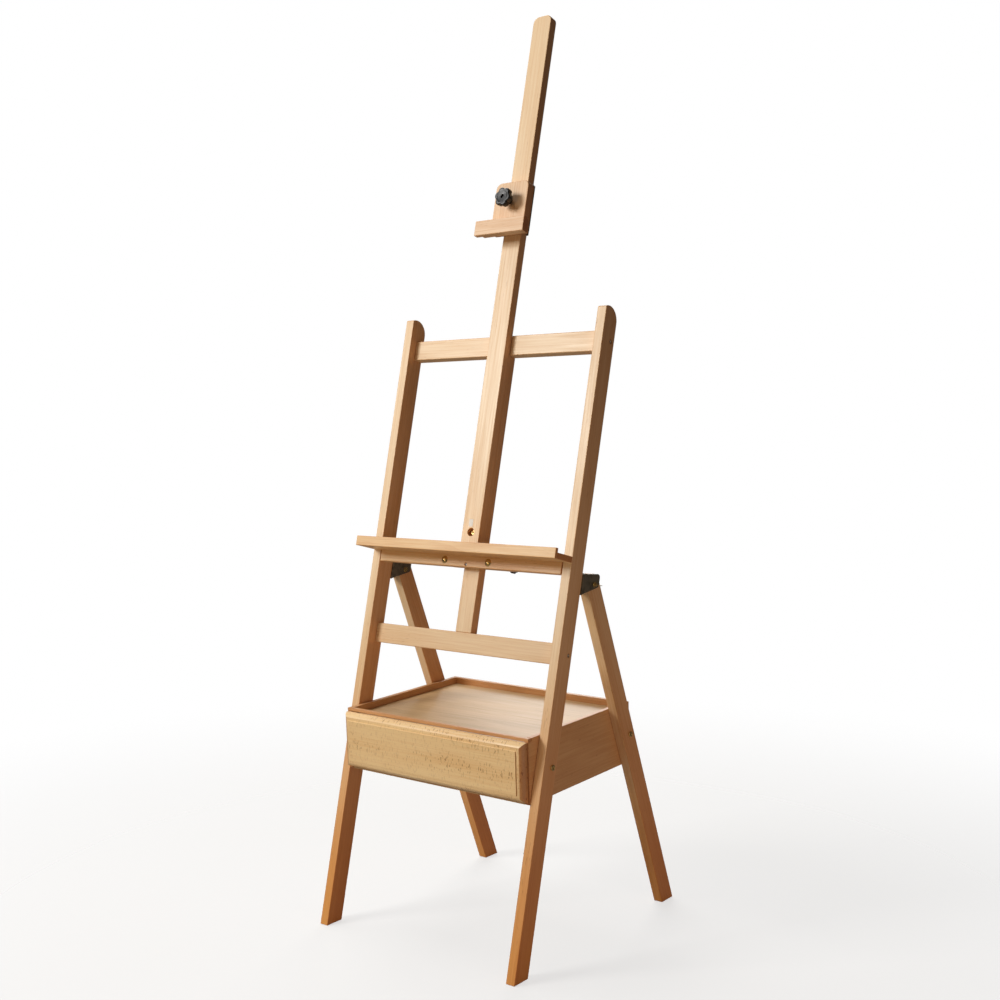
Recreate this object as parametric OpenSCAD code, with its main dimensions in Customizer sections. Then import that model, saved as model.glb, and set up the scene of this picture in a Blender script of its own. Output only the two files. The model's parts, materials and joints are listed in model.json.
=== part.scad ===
// Wooden studio easel with a sliding mast, a canvas tray, an upper canvas clamp and a drawer case.
// Millimetres. +X to the right, +Y to the back, +Z up. Origin on the floor, centre of the footprint.

/* [Main frame] */
// Overall width over the two front posts
frame_width = 550; // [450:1:700]
// Thickness of posts and rear legs, seen from the front
post_thickness = 22; // [16:1:35]
// Depth of posts and rear legs, seen from the side
post_depth = 45; // [35:1:60]
// Length of a front post along its own slope
post_length = 1396; // [1000:1:1800]
// Backward lean of the front posts and the mast
lean_angle = 13.5; // [5:0.1:25]
// Radius of the domed post tops
post_dome_radius = 30; // [24:1:45]
// Height of the underside of the top rail, along the slope
top_rail_bottom = 1304; // [1000:1:1600]
// Height of the top rail itself
top_rail_height = 43.5; // [30:0.5:60]
// Setback of the top rail behind the front of the posts
top_rail_setback = 20; // [5:1:30]
// Height of the underside of the lower rail, along the slope
lower_rail_bottom = 648; // [540:1:800]
// Height of the lower rail itself
lower_rail_height = 44; // [30:0.5:60]
// Width of the fixed centre stile
stile_width = 43.5; // [30:0.5:60]

/* [Mast and canvas tray] */
// Width of the sliding mast
mast_width = 48; // [35:1:60]
// Thickness of the sliding mast
mast_thickness = 21; // [15:0.5:30]
// Height of the mast's top end at its lowest position, along the slope
mast_top = 2066; // [1500:1:2400]
// Travel of the mast and the tray
mast_travel = 365; // [100:1:380]
// Height of the top edge of the tray rail, along the slope
tray_rail_top = 870; // [800:1:950]
// Height of the tray rail
tray_rail_height = 38; // [25:1:60]
// Depth of the tray in front of the posts
tray_depth = 61.5; // [35:0.5:90]
// Thickness of the tray shelf
tray_shelf_thickness = 13; // [8:0.5:20]
// Height of the tray's front lip
tray_lip_height = 22; // [15:0.5:40]
// Thickness of the tray's front lip
tray_lip_thickness = 8.5; // [5:0.5:15]
// Distance from the centre to each brass tray bolt
tray_bolt_offset = 60.5; // [40:0.5:120]

/* [Upper canvas clamp] */
// Width of the clamp plate
clamp_plate_width = 88; // [60:1:120]
// Height of the clamp plate
clamp_plate_height = 113; // [80:1:160]
// Thickness of the clamp plate
clamp_plate_thickness = 22; // [15:0.5:30]
// Height of the underside of the clamp plate, along the slope
clamp_plate_bottom = 1567; // [1520:1:1700]
// Width of the lip bar
clamp_bar_width = 133; // [90:1:200]
// Height of the lip bar
clamp_bar_height = 33; // [20:1:50]
// Thickness of the lip bar
clamp_bar_thickness = 28; // [15:1:40]
// Distance that the lip bar hangs below the plate
clamp_lip_drop = 12; // [8:1:20]
// Diameter of the clamp's star knob
clamp_knob_diameter = 42; // [30:1:60]

/* [Rear legs] */
// Backward slope of the rear legs
leg_angle = 22.3; // [15:0.1:35]
// Height of the leg hinges, along the slope of the posts
hinge_height = 825; // [700:1:900]
// Distance of the leg hinges behind the front of the posts
hinge_setback = 89; // [75:1:120]

/* [Drawer case] */
// Height of the case's underside above the floor
case_bottom = 355; // [250:1:420]
// Outer height of the case
case_height = 138.5; // [90:0.5:180]
// Depth of the case
case_depth = 378; // [250:1:420]
// Distance of the case front behind the front edge of the post feet
case_front = 82; // [60:1:110]
// Rise of the case and the drawer towards the back
case_tilt = 1.9; // [0:0.1:3]
// Thickness of the case sides and back
case_board = 12; // [8:0.5:18]
// Depth of the recess in the case top
case_top_recess = 14.5; // [5:0.5:25]
// Thickness of the drawer front
drawer_front_thickness = 20; // [14:1:28]
// Width of the rounded border round the drawer front
drawer_border = 18; // [8:1:30]

/* [Hidden] */

beech = [0.87, 0.70, 0.49];
beech_dark = [0.76, 0.56, 0.36];
brass = [0.80, 0.64, 0.30];
steel = [0.62, 0.62, 0.60];
bronze_paint = [0.27, 0.24, 0.20];
black_plastic = [0.10, 0.10, 0.11];
white_paper = [0.95, 0.95, 0.93];

round_facets = 48;
small_facets = 32;
half_width = frame_width / 2;
inner_half = half_width - post_thickness;

// Sliding and turning clearances
slide_gap = 0.5;
turn_gap = 0.08;
fit_gap = 0.1;

// Slope frame: x across, y behind the front face of the posts, z along the posts
lean_sin = sin(lean_angle);
lean_cos = cos(lean_angle);
foot_rise = post_depth * tan(lean_angle);
mast_front = 1.5;
mast_back = mast_front + mast_thickness;
stile_front = mast_back + slide_gap;
stile_bottom = lower_rail_bottom + lower_rail_height;
tray_face = -0.4;
tray_rail_thickness = 22;
tray_rail_bottom = tray_rail_top - tray_rail_height;
tray_tongue_front = 10.6;
tray_bolt_height = tray_rail_bottom + 13;
tray_bottom = tray_rail_top - tray_shelf_thickness;
tray_end_gap = 1.5;
guide_bolt_height = tray_rail_top + 39;
guide_bolt_radius = 3;
guide_slot_radius = 3.5;
counterbore_radius = 8.5;
counterbore_depth = 12;
keeper_front = post_depth + slide_gap;
keeper_thickness = 21;
keeper_back = keeper_front + keeper_thickness;
keeper_length = 170;
keeper_height = 18;
tray_knob_radius = 10;
tray_knob_hub = 6.5;
tray_knob_back = 99;
tray_bolt_radius = 3;
screw_radius = 2;
screw_head_radius = 4;
screw_recess = 2;

// Clamp
clamp_back = mast_front - slide_gap;
clamp_front = clamp_back - clamp_plate_thickness;
clamp_corner = 14;
bar_back = clamp_front;
bar_bottom = clamp_plate_bottom - clamp_lip_drop;
bar_strip = 12;
bar_inset = 8;
bar_rebate = 4;
knob_height = clamp_plate_bottom + 69;
knob_face = clamp_front - 31;
knob_head = 14;
strap_sheet = 2;
strap_inner = mast_width / 2 + slide_gap;
strap_rear = mast_back + slide_gap;
strap_bottom = clamp_plate_bottom + 6;
strap_height = clamp_plate_height - 1;
strap_flange = 18;

// Hinges of the rear legs, in floor coordinates before the origin shift
hinge_y = hinge_height * lean_sin + hinge_setback * lean_cos;
hinge_z = hinge_height * lean_cos - hinge_setback * lean_sin;
leg_reach = hinge_z / cos(leg_angle);
leg_heel = hinge_y + hinge_z * tan(leg_angle) + post_depth / 2 / cos(leg_angle);
origin_shift = -leg_heel / 2;
leg_round = post_depth / 2;
bracket_sheet = 2;
bracket_gap = 0.4;
bracket_low = hinge_height - 28;
bracket_height = 44;
bracket_reach = 62;
bracket_corner = 8;
bracket_low_rise = 22;
bracket_high_rise = 8;
pin_radius = 3;
leg_bolt_down = 378;
leg_bolt_back = 5;
bolt_head_radius = 6.5;
bolt_head_height = 3.5;

// Case and drawer
case_half = inner_half - slide_gap;
case_inner = case_half - case_board;
case_top = case_bottom + case_height;
case_back_face = case_front + case_depth;
case_middle_y = case_front + case_depth / 2;
case_middle_z = case_bottom + case_height / 2;
strip_depth = 10;
strip_height = 7;
top_panel_thickness = 9;
bottom_thickness = 4;
case_bolt_height = 440;
case_bolt_setback = 28.7;
case_bolt_end = case_half - 10;
drawer_gap = 0.5;
drawer_half = case_inner - drawer_gap;
drawer_board = 12;
drawer_length = 328;
drawer_low = case_bottom + 9;
drawer_high = case_bottom + 106;
runner_thickness = 5.6;
runner_height = 12;
runner_low = case_bottom + 55;
groove_depth = runner_thickness + drawer_gap;
drawer_front_half = case_half - 2.5;
drawer_front_low = case_bottom + 6;
drawer_front_high = case_top - strip_height - drawer_gap;
drawer_front_back = case_front - 0.4;
drawer_front_face = drawer_front_back - drawer_front_thickness;
border_step = 2;
border_curve = 16;

// ---------- helpers ----------

// Puts children in floor coordinates with the origin at the centre of the footprint
module on_floor() {
  translate([0, origin_shift, 0])
    children();
}

// Puts children in the slope frame of the posts and the mast
module on_slope() {
  on_floor()
    rotate([-lean_angle, 0, 0])
      children();
}

// Puts children in a rear leg's frame: origin on the hinge, z up along the leg
module on_leg() {
  on_floor()
    translate([0, hinge_y, hinge_z])
      rotate([leg_angle, 0, 0])
        children();
}

// Puts children in the frame of the case, which rises a little towards the back
module on_case() {
  on_floor()
    translate([0, case_middle_y, case_middle_z])
      rotate([case_tilt, 0, 0])
        translate([0, -case_middle_y, -case_middle_z])
          children();
}

// Box given by its low and high corners
module block(low, high) {
  translate(low)
    cube(high - low);
}

// Side profile (y, z) given a width along x
module side_cut(start, width) {
  translate([start, 0, 0])
    rotate([90, 0, 90])
      linear_extrude(width)
        children();
}

// Front profile (x, z) given a depth along y
module front_cut(start, depth) {
  translate([0, start + depth, 0])
    rotate([90, 0, 0])
      linear_extrude(depth)
        children();
}

// Cylinder along x from one position to another
module rod_x(from, to, y, z, r, facets = small_facets) {
  translate([from, y, z])
    rotate([0, 90, 0])
      cylinder(h = to - from, r = r, $fn = facets);
}

// Cylinder along y from one position to another
module rod_y(from, to, x, z, r, facets = small_facets) {
  translate([x, from, z])
    rotate([-90, 0, 0])
      cylinder(h = to - from, r = r, $fn = facets);
}

// Domed head along y that swells towards the front from its flat back
module dome_front(back, x, z, r, height, hole = 0) {
  translate([x, back, z])
    rotate([90, 0, 0])
      rotate_extrude($fn = round_facets)
        intersection() {
          translate([0, (height * height - r * r) / (2 * height)])
            circle(r = (r * r + height * height) / (2 * height), $fn = 96);
          translate([hole, 0])
            square([r - hole, height]);
        }
}

// Star outline with rounded lobes
module star(r, lobes) {
  valley = r * 0.84;
  difference() {
    union() {
      circle(r = valley, $fn = round_facets);
      for (i = [0 : lobes - 1])
        rotate(i * 360 / lobes)
          translate([r * 0.74, 0])
            circle(r = r * 0.26, $fn = small_facets);
    }
    for (i = [0 : lobes - 1])
      rotate((i + 0.5) * 360 / lobes)
        translate([r * 1.1, 0])
          circle(r = r * 0.26, $fn = small_facets);
  }
}

// ---------- main frame ----------

module post(start, side) {
  color(beech)
    on_slope()
      difference() {
        side_cut(start, post_thickness)
          union() {
            polygon([
              [0, 0],
              [post_depth, foot_rise],
              [post_depth, post_length - post_dome_radius],
              [0, post_length - post_dome_radius]
            ]);
            intersection() {
              translate([post_depth / 3, post_length - post_dome_radius])
                circle(r = post_dome_radius, $fn = 96);
              translate([0, post_length - post_dome_radius - 1])
                square([post_depth, post_dome_radius + 2]);
            }
          }
        rail_screw_holes();
        rod_x(-half_width - 1, half_width + 1, case_bolt_setback, case_bolt_height,
          guide_bolt_radius + fit_gap);
        bracket_screw_shanks(screw_radius + fit_gap);
      }
}

module left_post() post(-half_width, -1);
module right_post() post(inner_half, 1);

rail_screw_points = [
  [(top_rail_setback + post_depth) / 2, top_rail_bottom + top_rail_height / 2],
  [(stile_front + post_depth) / 2, lower_rail_bottom + lower_rail_height / 2]
];

// Pilot holes and counterbores for the screws that hold the two fixed rails
module rail_screw_holes() {
  for (side = [-1, 1])
    for (p = rail_screw_points)
      mirror([side < 0 ? 1 : 0, 0, 0]) {
        rod_x(inner_half - 30, half_width + 1, p[0], p[1], screw_radius + fit_gap);
        rod_x(half_width - screw_recess - 3, half_width + 1, p[0], p[1], screw_head_radius + fit_gap);
      }
}

module rail_screws() {
  color(steel)
    on_slope()
      for (side = [0, 1])
        for (p = rail_screw_points)
          mirror([side, 0, 0])
            difference() {
              union() {
                rod_x(inner_half - 28, half_width - screw_recess - 2, p[0], p[1], screw_radius);
                rod_x(half_width - screw_recess - 3, half_width - screw_recess, p[0], p[1],
                  screw_head_radius);
              }
              rod_x(half_width - screw_recess - 1.5, half_width, p[0], p[1], 1.6, 6);
            }
}

module top_rail() {
  color(beech)
    on_slope()
      difference() {
        block([-inner_half, top_rail_setback, top_rail_bottom],
          [inner_half, post_depth, top_rail_bottom + top_rail_height]);
        block([-strap_inner, top_rail_setback - 1, top_rail_bottom - 1],
          [strap_inner, stile_front, top_rail_bottom + top_rail_height + 1]);
        rail_screw_holes();
      }
}

module lower_rail() {
  color(beech)
    on_slope()
      difference() {
        block([-inner_half, stile_front, lower_rail_bottom],
          [inner_half, post_depth, lower_rail_bottom + lower_rail_height]);
        rail_screw_holes();
      }
}

// Fixed stile behind the mast, with the slot that the guide bolt runs in
module centre_stile() {
  color(beech)
    on_slope()
      difference() {
        block([-stile_width / 2, stile_front, stile_bottom],
          [stile_width / 2, post_depth, top_rail_bottom]);
        rod_y(stile_front - 1, post_depth + 1, 0, guide_bolt_height - 0.3, guide_slot_radius);
        rod_y(stile_front - 1, post_depth + 1, 0, guide_bolt_height + mast_travel + 0.3,
          guide_slot_radius);
        block([-guide_slot_radius, stile_front - 1, guide_bolt_height - 0.3],
          [guide_slot_radius, post_depth + 1, guide_bolt_height + mast_travel + 0.3]);
      }
}

// ---------- leg hinges ----------

// Points along an arc, anticlockwise
function arc(centre, r, from, to, steps = 8) =
  [for (i = [0 : steps])
    let (a = from + (to - from) * i / steps)
      centre + r * [cos(a), sin(a)]];

// Cheek of a leg bracket, which narrows towards its rounded back end
module bracket_outline() {
  high = bracket_low + bracket_height;
  reach = bracket_reach - bracket_corner;
  lower = [post_depth + reach,
    bracket_low + reach * tan(bracket_low_rise) + bracket_corner / cos(bracket_low_rise)];
  upper = [post_depth + reach,
    high + reach * tan(bracket_high_rise) - bracket_corner / cos(bracket_high_rise)];
  difference() {
    polygon(concat(
      [[post_depth, bracket_low]],
      arc(lower, bracket_corner, bracket_low_rise - 90, 0),
      arc(upper, bracket_corner, 0, 90 + bracket_high_rise),
      [[post_depth, high]]
    ));
    translate([hinge_setback, hinge_height])
      circle(r = pin_radius + 0.05, $fn = small_facets);
  }
}

module bracket() {
  inside = inner_half - bracket_gap;
  outside = half_width + bracket_gap;
  color(bronze_paint)
    on_slope()
      difference() {
        union() {
          side_cut(inside - bracket_sheet, bracket_sheet)
            bracket_outline();
          side_cut(outside, bracket_sheet)
            bracket_outline();
          block([inside - bracket_sheet, post_depth, bracket_low],
            [outside + bracket_sheet, post_depth + bracket_sheet, bracket_low + bracket_height]);
        }
        bracket_screw_shanks(screw_radius + fit_gap);
      }
}

module right_bracket() bracket();
module left_bracket() mirror([1, 0, 0]) bracket();

bracket_screw_heights = [hinge_height - 13, hinge_height + 7];

module bracket_screw_shanks(r) {
  for (side = [0, 1])
    mirror([side, 0, 0])
      for (z = bracket_screw_heights)
        rod_y(post_depth - 18, post_depth + bracket_sheet + 1, half_width - post_thickness / 2, z, r);
}

module bracket_screws() {
  centre = half_width - post_thickness / 2;
  color(steel)
    on_slope()
      for (side = [0, 1])
        mirror([side, 0, 0])
          for (z = bracket_screw_heights) {
            rod_y(post_depth - 16, post_depth + bracket_sheet + 0.5, centre, z, screw_radius);
            rod_y(post_depth + bracket_sheet, post_depth + bracket_sheet + 2, centre, z, screw_head_radius);
          }
}

// Brass clevis pin with its head inside, and a washer and a split pin outside
module hinge_pin() {
  inside = inner_half - bracket_gap - bracket_sheet;
  outside = half_width + bracket_gap + bracket_sheet;
  color(brass)
    on_slope() {
      rod_x(inside - 1, outside + 6, hinge_setback, hinge_height, pin_radius);
      rod_x(inside - 2.2, inside, hinge_setback, hinge_height, 6);
      rod_x(outside, outside + 1.6, hinge_setback, hinge_height, 6);
      rod_y(hinge_setback - 9, hinge_setback + 26, outside + 3.6, hinge_height, 1);
    }
}

module right_hinge_pin() hinge_pin();
module left_hinge_pin() mirror([1, 0, 0]) hinge_pin();

// ---------- rear legs ----------

module leg() {
  color(beech)
    difference() {
      intersection() {
        on_leg()
          union() {
            block([inner_half, -leg_round, -leg_reach - post_depth],
              [half_width, leg_round, 0]);
            rod_x(inner_half, half_width, 0, 0, leg_round, 64);
          }
        on_floor()
          block([inner_half - 1, 0, 0], [half_width + 1, leg_heel + post_depth, hinge_z + post_depth]);
      }
      on_leg() {
        rod_x(inner_half - 1, half_width + 1, 0, 0, pin_radius + turn_gap);
        rod_x(inner_half - 1, half_width + 1, leg_bolt_back, -leg_bolt_down,
          guide_bolt_radius + fit_gap);
      }
    }
}

module right_leg() leg();
module left_leg() mirror([1, 0, 0]) leg();

// Bolt that holds a leg to the case; its tip is stopped short of the case so that the leg can swing
module leg_bolt() {
  color(brass)
    on_leg()
      difference() {
        union() {
          rod_x(inner_half + 0.5, half_width + 1, leg_bolt_back, -leg_bolt_down, guide_bolt_radius);
          rod_x(half_width, half_width + bolt_head_height, leg_bolt_back, -leg_bolt_down,
            bolt_head_radius);
        }
        rod_x(half_width + 1, half_width + bolt_head_height + 1, leg_bolt_back, -leg_bolt_down, 2.3, 6);
      }
}

module right_leg_bolt() leg_bolt();
module left_leg_bolt() mirror([1, 0, 0]) leg_bolt();

// ---------- drawer case ----------

module case_side() {
  color(beech_dark)
    difference() {
      on_case()
        side_cut(case_inner, case_board)
          polygon([
            [case_front, case_bottom],
            [case_back_face, case_bottom],
            [case_back_face, case_top],
            [case_front + strip_depth, case_top],
            [case_front + strip_depth, case_top - strip_height],
            [case_front, case_top - strip_height]
          ]);
      on_slope()
        rod_x(case_bolt_end - 0.5, half_width, case_bolt_setback, case_bolt_height,
          guide_bolt_radius + fit_gap);
    }
}

module case_right_side() case_side();
module case_left_side() mirror([1, 0, 0]) case_side();

module case_back() {
  color(beech_dark)
    on_case()
      block([-case_inner, case_back_face - case_board, case_bottom],
        [case_inner, case_back_face, case_top]);
}

module case_top_panel() {
  color(beech)
    on_case()
      block([-case_inner, case_front + strip_depth, case_top - case_top_recess - top_panel_thickness],
        [case_inner, case_back_face - case_board, case_top - case_top_recess]);
}

module case_front_strip() {
  color(beech_dark)
    on_case()
      block([-case_half, case_front, case_top - strip_height],
        [case_half, case_front + strip_depth, case_top]);
}

module case_bottom_panel() {
  color(beech)
    on_case()
      block([-case_inner, case_front, case_bottom],
        [case_inner, case_back_face - case_board, case_bottom + bottom_thickness]);
}

module drawer_runners() {
  color(beech_dark)
    on_case()
      for (side = [0, 1])
        mirror([side, 0, 0])
          block([case_inner - runner_thickness, case_front + 14, runner_low],
            [case_inner, case_back_face - case_board - 2, runner_low + runner_height]);
}

module case_bolts() {
  color(brass)
    on_slope()
      for (side = [0, 1])
        mirror([side, 0, 0])
          difference() {
            union() {
              rod_x(case_bolt_end, half_width + 1, case_bolt_setback, case_bolt_height,
                guide_bolt_radius);
              rod_x(half_width, half_width + bolt_head_height, case_bolt_setback, case_bolt_height,
                bolt_head_radius);
            }
            rod_x(half_width + 1, half_width + bolt_head_height + 1, case_bolt_setback,
              case_bolt_height, 2.3, 6);
          }
}

// ---------- drawer ----------

// Half section of the drawer front: flat field, small step, quarter-round border
module border_section(half, mid) {
  field = half - drawer_border;
  curve = [for (a = [0 : 10 : 90])
    [field + border_step + (drawer_border - border_step) * sin(a),
      drawer_front_face + border_step + border_curve * (1 - cos(a))]];
  left_curve = [for (i = [len(curve) - 1 : -1 : 0]) [-curve[i][0], curve[i][1]]];
  translate([mid, 0])
    polygon(concat(
      [[half, drawer_front_back], [-half, drawer_front_back]],
      left_curve,
      [[-field - border_step, drawer_front_face], [field + border_step, drawer_front_face]],
      curve
    ));
}

module drawer_front() {
  mid = (drawer_front_low + drawer_front_high) / 2;
  half = (drawer_front_high - drawer_front_low) / 2;
  color(beech)
    on_case()
      intersection() {
        translate([0, 0, drawer_front_low])
          linear_extrude(drawer_front_high - drawer_front_low)
            border_section(drawer_front_half, 0);
        translate([-drawer_front_half, 0, 0])
          rotate([0, 90, 0])
            linear_extrude(2 * drawer_front_half)
              mirror([1, 0])
                border_section(half, mid);
      }
}

module drawer_side() {
  color(beech_dark)
    on_case()
      difference() {
        block([drawer_half - drawer_board, drawer_front_back, drawer_low],
          [drawer_half, drawer_front_back + drawer_length, drawer_high]);
        block([drawer_half - groove_depth, drawer_front_back + 12, runner_low - drawer_gap],
          [drawer_half + 1, drawer_front_back + drawer_length + 1,
            runner_low + runner_height + drawer_gap]);
      }
}

module drawer_right_side() drawer_side();
module drawer_left_side() mirror([1, 0, 0]) drawer_side();

module drawer_back() {
  color(beech_dark)
    on_case()
      block([-drawer_half + drawer_board, drawer_front_back + drawer_length - drawer_board, drawer_low],
        [drawer_half - drawer_board, drawer_front_back + drawer_length, drawer_high]);
}

module drawer_bottom() {
  color(beech)
    on_case()
      block([-drawer_half + drawer_board, drawer_front_back, drawer_low + 3],
        [drawer_half - drawer_board, drawer_front_back + drawer_length - drawer_board,
          drawer_low + 3 + bottom_thickness]);
}

// ---------- mast and tray ----------

module mast() {
  corner = 14;
  half = mast_width / 2;
  color(beech)
    on_slope()
      difference() {
        front_cut(mast_front, mast_thickness)
          union() {
            translate([-half, tray_rail_bottom + 2])
              square([mast_width, mast_top - corner - tray_rail_bottom - 2]);
            translate([-half + corner, mast_top - corner - 1])
              square([mast_width - 2 * corner, corner + 1]);
            for (x = [-half + corner, half - corner])
              translate([x, mast_top - corner])
                circle(r = corner, $fn = 64);
          }
        block([-half - 1, mast_front - 1, tray_rail_bottom], [half + 1, tray_tongue_front, tray_rail_top]);
        rod_y(mast_front - 1, mast_back + 1, 0, guide_bolt_height, guide_bolt_radius + fit_gap);
        rod_y(mast_front - 1, mast_front + counterbore_depth, 0, guide_bolt_height, counterbore_radius);
        rod_y(mast_front, mast_back - 3, 0, tray_rail_bottom + 6, screw_radius + fit_gap);
      }
}

// Blank paper label above the guide bolt
module mast_label() {
  color(white_paper)
    on_slope()
      block([-8, mast_front - 0.3, guide_bolt_height + 12], [3, mast_front, guide_bolt_height + 28]);
}

module mast_guide_bolt() {
  seat = mast_front + counterbore_depth;
  color(brass)
    on_slope() {
      difference() {
        union() {
          rod_y(seat - 4, seat, 0, guide_bolt_height, 5.5);
          rod_y(seat - 1, post_depth + 9, 0, guide_bolt_height, guide_bolt_radius);
        }
        rod_y(seat - 5, seat - 1.8, 0, guide_bolt_height, 2.3, 6);
      }
      rod_y(post_depth + 0.4, post_depth + 2, 0, guide_bolt_height, 9);
      rod_y(post_depth + 2, post_depth + 7, 0, guide_bolt_height, 5.8, 6);
    }
}

module tray_rail() {
  color(beech)
    on_slope()
      difference() {
        block([-inner_half + tray_end_gap, tray_face, tray_rail_bottom],
          [inner_half - tray_end_gap, tray_face + tray_rail_thickness, tray_rail_top]);
        block([-mast_width / 2, tray_tongue_front, tray_rail_bottom - 1],
          [mast_width / 2, tray_face + tray_rail_thickness + 1, tray_rail_top + 1]);
        for (side = [-1, 1])
          rod_y(tray_face - 1, tray_face + tray_rail_thickness + 1, side * tray_bolt_offset,
            tray_bolt_height, tray_bolt_radius + fit_gap);
        rod_y(tray_face - 1, tray_tongue_front + 1, 0, tray_rail_bottom + 6, screw_radius + fit_gap);
        rod_y(tray_face - 1, tray_face + 3.5, 0, tray_rail_bottom + 6, 3.1);
      }
}

module tray_rail_screw() {
  color(steel)
    on_slope() {
      rod_y(tray_face + 1.5, tray_face + 3.5, 0, tray_rail_bottom + 6, 3);
      rod_y(tray_face + 3, mast_back - 4, 0, tray_rail_bottom + 6, screw_radius);
    }
}

module tray_shelf() {
  color(beech)
    on_slope()
      block([-half_width, tray_lip_thickness - tray_depth, tray_bottom],
        [half_width, tray_face, tray_rail_top]);
}

module tray_lip() {
  color(beech)
    on_slope()
      block([-half_width, -tray_depth, tray_bottom],
        [half_width, tray_lip_thickness - tray_depth, tray_bottom + tray_lip_height]);
}

module tray_bolts() {
  color(brass)
    on_slope()
      for (side = [-1, 1]) {
        dome_front(tray_face, side * tray_bolt_offset, tray_bolt_height, 8.5, 4.5);
        rod_y(tray_face - 1, tray_knob_back - 6, side * tray_bolt_offset, tray_bolt_height,
          tray_bolt_radius);
      }
}

module tray_keeper_bar() {
  color(beech)
    on_slope()
      difference() {
        block([-keeper_length / 2, keeper_front, tray_bolt_height - keeper_height / 2],
          [keeper_length / 2, keeper_back, tray_bolt_height + keeper_height / 2]);
        for (side = [-1, 1])
          rod_y(keeper_front - 1, keeper_back + 1, side * tray_bolt_offset, tray_bolt_height,
            tray_bolt_radius + fit_gap);
      }
}

// Small star knob on the back end of a tray bolt
module tray_knob(x) {
  color(black_plastic)
    on_slope()
      difference() {
        union() {
          rod_y(keeper_back + 0.3, tray_knob_back - 12, x, tray_bolt_height, tray_knob_hub);
          translate([x, 0, tray_bolt_height])
            front_cut(tray_knob_back - 13, 13)
              star(tray_knob_radius, 6);
        }
        rod_y(keeper_back, tray_knob_back - 5, x, tray_bolt_height, tray_bolt_radius + turn_gap);
      }
}

module left_tray_knob() tray_knob(-tray_bolt_offset);
module right_tray_knob() tray_knob(tray_bolt_offset);

// ---------- upper canvas clamp ----------

module clamp_plate() {
  half = clamp_plate_width / 2;
  top = clamp_plate_bottom + clamp_plate_height;
  color(beech)
    on_slope()
      difference() {
        front_cut(clamp_front, clamp_plate_thickness)
          union() {
            translate([-half, clamp_plate_bottom])
              square([clamp_plate_width, clamp_plate_height - clamp_corner]);
            translate([-half + clamp_corner, top - clamp_corner - 1])
              square([clamp_plate_width - 2 * clamp_corner, clamp_corner + 1]);
            for (x = [-half + clamp_corner, half - clamp_corner])
              translate([x, top - clamp_corner])
                circle(r = clamp_corner, $fn = 64);
          }
        rod_y(clamp_front - 1, clamp_back + 1, 0, knob_height, guide_bolt_radius + turn_gap);
        strap_screw_shanks(1.6);
      }
}

// Lip bar: a full-width front strip, backed by a shorter and shallower strip
module clamp_lip_bar() {
  half = clamp_bar_width / 2;
  bar_front = bar_back - clamp_bar_thickness;
  color(beech)
    on_slope() {
      block([-half, bar_front, bar_bottom],
        [half, bar_front + bar_strip, bar_bottom + clamp_bar_height]);
      block([-half + bar_inset, bar_front + bar_strip, bar_bottom + bar_rebate],
        [half - bar_inset, bar_back, bar_bottom + clamp_bar_height]);
    }
}

strap_screw_x = strap_inner + strap_sheet + 9;
strap_screw_heights = [strap_bottom + 16, strap_bottom + strap_height - 26];

module strap_screw_shanks(r) {
  for (x = [-strap_screw_x, strap_screw_x])
    for (z = strap_screw_heights)
      rod_y(clamp_back - 12, clamp_back + strap_sheet + 1, x, z, r);
}

// Sheet-steel strap that wraps round the back of the mast
module clamp_strap() {
  outer = strap_inner + strap_sheet;
  top = strap_bottom + strap_height;
  color(bronze_paint)
    on_slope()
      difference() {
        union() {
          block([-outer - strap_flange, clamp_back, strap_bottom],
            [-strap_inner, clamp_back + strap_sheet, top - 12]);
          block([strap_inner, clamp_back, strap_bottom],
            [outer + strap_flange, clamp_back + strap_sheet, top - 12]);
          block([-outer, clamp_back, strap_bottom], [-strap_inner, strap_rear + strap_sheet, top]);
          block([strap_inner, clamp_back, strap_bottom], [outer, strap_rear + strap_sheet, top]);
          block([-outer, strap_rear, strap_bottom], [outer, strap_rear + strap_sheet, top]);
        }
        strap_screw_shanks(1.6);
      }
}

module strap_screws() {
  color(steel)
    on_slope()
      for (x = [-strap_screw_x, strap_screw_x])
        for (z = strap_screw_heights) {
          rod_y(clamp_back - 11, clamp_back + strap_sheet + 0.5, x, z, 1.5);
          rod_y(clamp_back + strap_sheet, clamp_back + strap_sheet + 1.8, x, z, 3);
        }
}

module clamp_knob() {
  color(black_plastic)
    on_slope()
      difference() {
        union() {
          translate([0, 0, knob_height])
            front_cut(knob_face, knob_head)
              star(clamp_knob_diameter / 2, 6);
          rod_y(knob_face + knob_head - 1, clamp_front - 2, 0, knob_height, 8);
        }
        rod_y(knob_face - 1, knob_face + 5, 0, knob_height, 3.8);
        rod_y(knob_face + 8, clamp_front, 0, knob_height, guide_bolt_radius + 0.02);
      }
}

module clamp_screw() {
  color(steel)
    on_slope()
      rod_y(knob_face + 9, mast_front - 0.2, 0, knob_height, guide_bolt_radius);
}

// ---------- output ----------

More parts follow.
